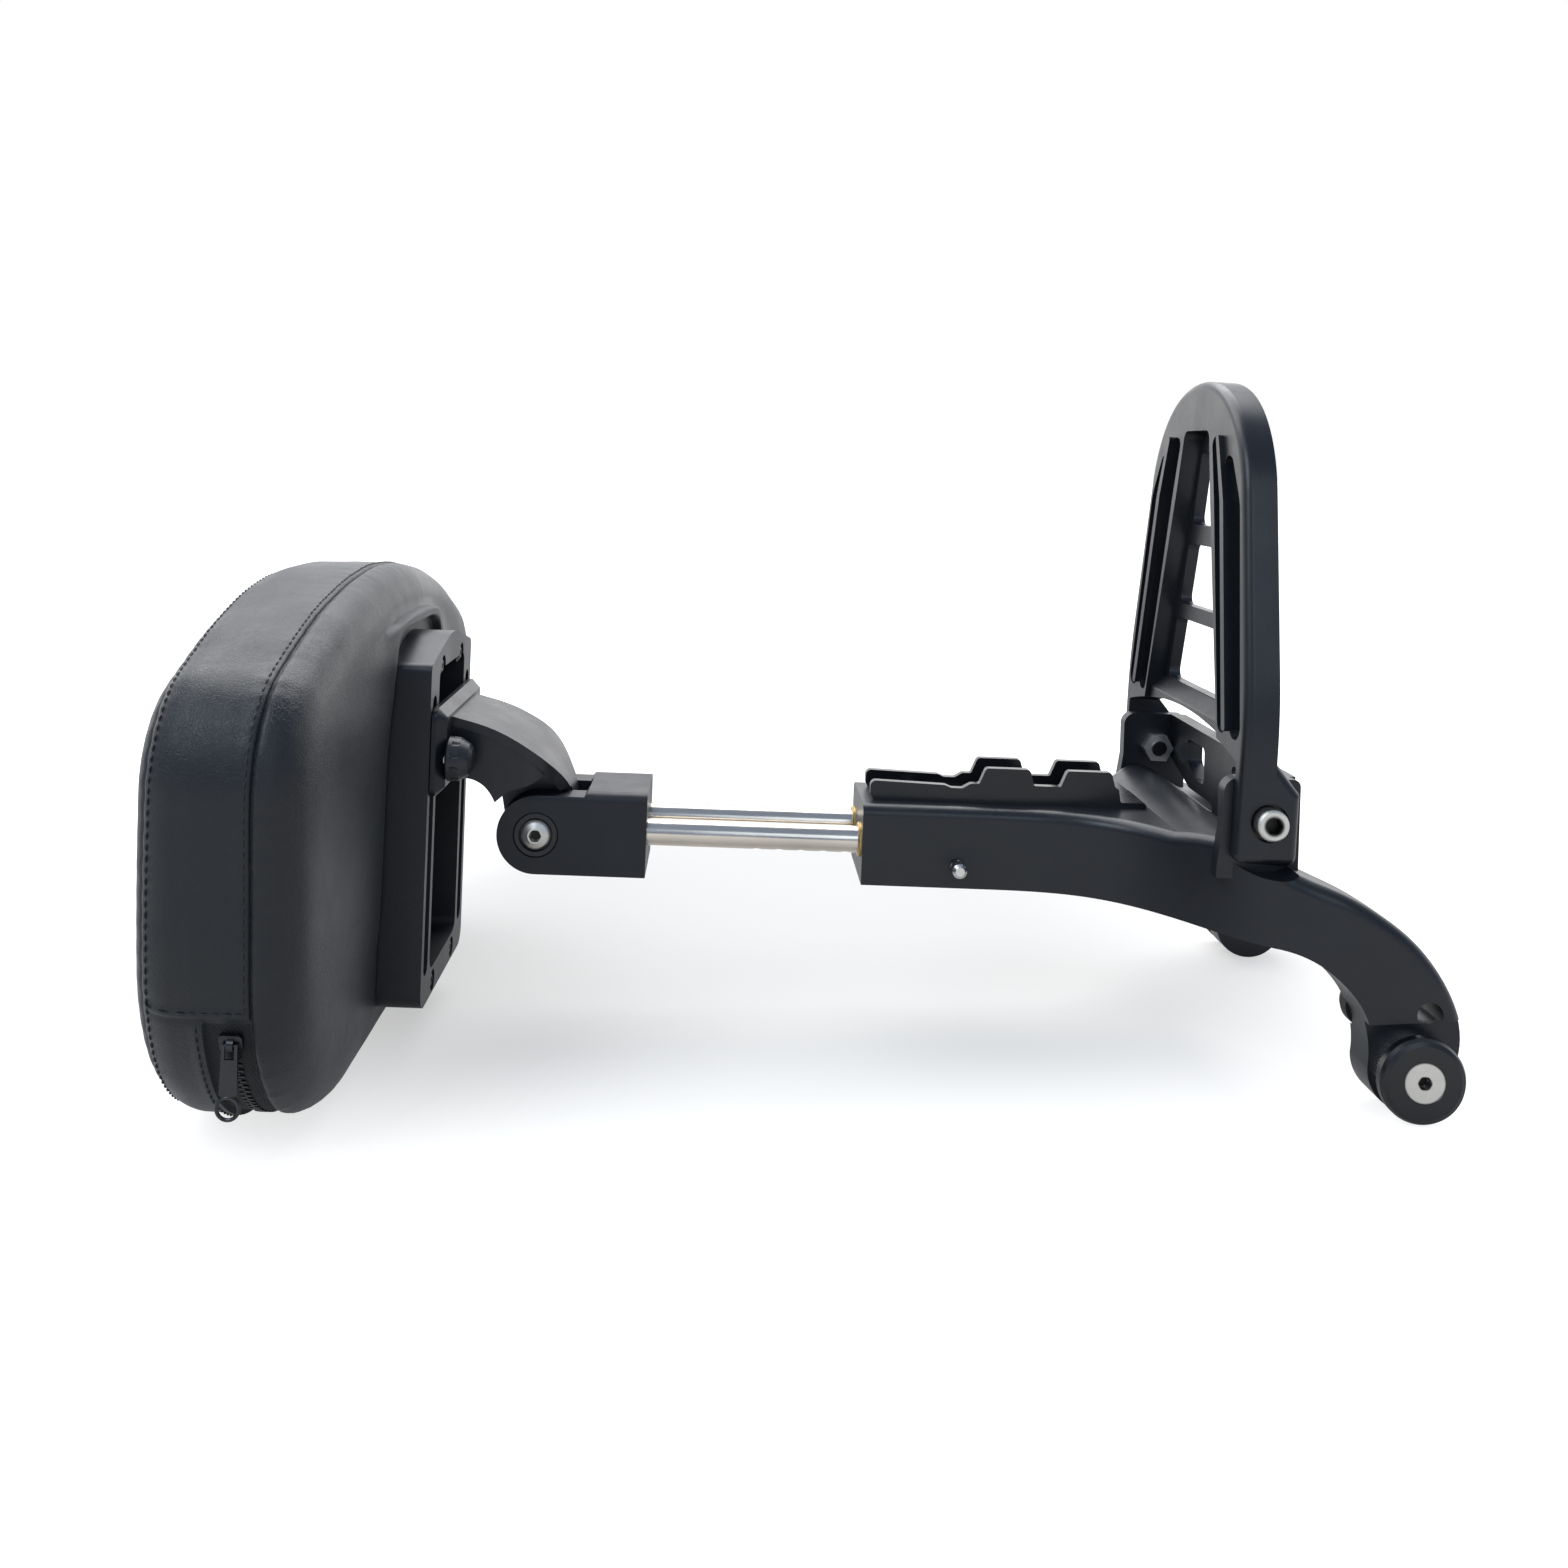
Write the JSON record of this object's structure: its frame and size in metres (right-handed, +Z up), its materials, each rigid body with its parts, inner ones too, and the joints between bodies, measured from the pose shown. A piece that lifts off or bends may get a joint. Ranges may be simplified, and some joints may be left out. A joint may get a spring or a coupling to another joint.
{
  "type": "motorcycle driver backrest",
  "caption": "Docking backrest for a motorcycle rider: stitched pad on a tilting arm, twin sliding rods in a cast base with docking feet, and a fold-down slotted rack plate.",
  "frame": {"origin": "centre of the bounding box on the floor under the feet and the pad", "axes": "X runs from the pad to the rear, along the rods seen from above, Y is across to the far side, Z is up"},
  "size_m": [0.5126, 0.3442, 0.2961],
  "materials": {
    "black_cast": "satin",
    "black_block": "satin",
    "black_moulding": "gloss",
    "black_plastic": "satin",
    "black_rubber": "matte",
    "black_disc": "gloss",
    "pad_leather": "satin",
    "bronze": "satin",
    "rod_steel": "polished",
    "bright_steel": "satin",
    "bright_screws": "polished",
    "dark_screws": "satin",
    "zip_metal": "polished"
  },
  "bodies": {
    "base": {"base_frame": "black_cast", "rod_bush_near": "bronze", "rod_bush_far": "bronze", "rest_channel": "black_moulding", "channel_screw_front": "dark_screws", "channel_screw_rear": "dark_screws", "lock_spring": "bright_steel", "hinge_bolt_near": "bright_screws", "hinge_nut_near": "bright_screws", "hinge_bolt_far": "bright_screws", "hinge_nut_far": "bright_screws", "foot_spacer_near": "bright_steel", "foot_spacer_far": "bright_steel", "foot_disc_near": "black_disc", "foot_disc_far": "black_disc", "foot_screw_near": "bright_screws", "foot_screw_far": "bright_screws", "foot_nut_near": "bright_screws", "foot_nut_far": "bright_screws", "leg_bumper_near": "black_rubber", "leg_bumper_far": "black_rubber"},
    "slider": {"rod_near": "rod_steel", "rod_far": "rod_steel", "clevis": "black_block", "rod_grub_near": "dark_screws", "rod_grub_far": "dark_screws", "pivot_bush_near": "black_plastic", "pivot_bush_far": "black_plastic", "pivot_screw": "bright_screws", "pivot_nut": "bright_screws"},
    "arm": {"arm": "black_cast", "clamp_bolt_near": "bright_screws", "clamp_bolt_far": "bright_screws"},
    "knob_near": {"knob_near": "black_plastic"},
    "knob_far": {"knob_far": "black_plastic"},
    "pad": {"pad": "pad_leather", "pad_frame": "black_plastic", "frame_screw_upper_near": "dark_screws", "frame_screw_upper_far": "dark_screws", "frame_screw_lower_near": "dark_screws", "frame_screw_lower_far": "dark_screws", "zip_slider": "zip_metal"},
    "zip": {"zip_pull": "zip_metal"},
    "rack": {"rack_plate": "black_cast"},
    "lock": {"lock_pin": "bright_screws"}
  },
  "joints": [
    {"name": "rod_slide", "type": "slide", "parent": "base", "child": "slider", "axis": [0.9993, 0, -0.0366], "range_m": [-0.03, 0.09]},
    {"name": "arm_pivot", "type": "hinge", "parent": "slider", "child": "arm", "pos_m": [-0.12188, 0, 0.09148], "axis": [0, 1, 0], "range_deg": [-20, 5]},
    {"name": "knob_turn_near", "type": "hinge", "parent": "arm", "child": "knob_near", "pos_m": [-0.15823, -0.039, 0.12903], "axis": [0.9993, 0, -0.0366], "continuous": true},
    {"name": "knob_turn_far", "type": "hinge", "parent": "arm", "child": "knob_far", "pos_m": [-0.15823, 0.039, 0.12903], "axis": [0.9993, 0, -0.0366], "continuous": true},
    {"name": "pad_height", "type": "slide", "parent": "arm", "child": "pad", "axis": [0.0366, 0, 0.9993], "range_m": [-0.022, 0.09]},
    {"name": "zip_swing", "type": "hinge", "parent": "pad", "child": "zip", "pos_m": [-0.21164, -0.16235, 0.05334], "axis": [0.9993, 0, -0.0366], "range_deg": [-95, 0]},
    {"name": "rack_fold", "type": "hinge", "parent": "base", "child": "rack", "pos_m": [0.18459, 0, 0.11246], "axis": [0, 1, 0], "range_deg": [-91, 0]},
    {"name": "lock_press", "type": "slide", "parent": "base", "child": "lock", "axis": [0, 1, 0], "range_m": [0, 0.007], "stiffness_N_per_m": 250, "springref_m": -0.012}
  ]
}
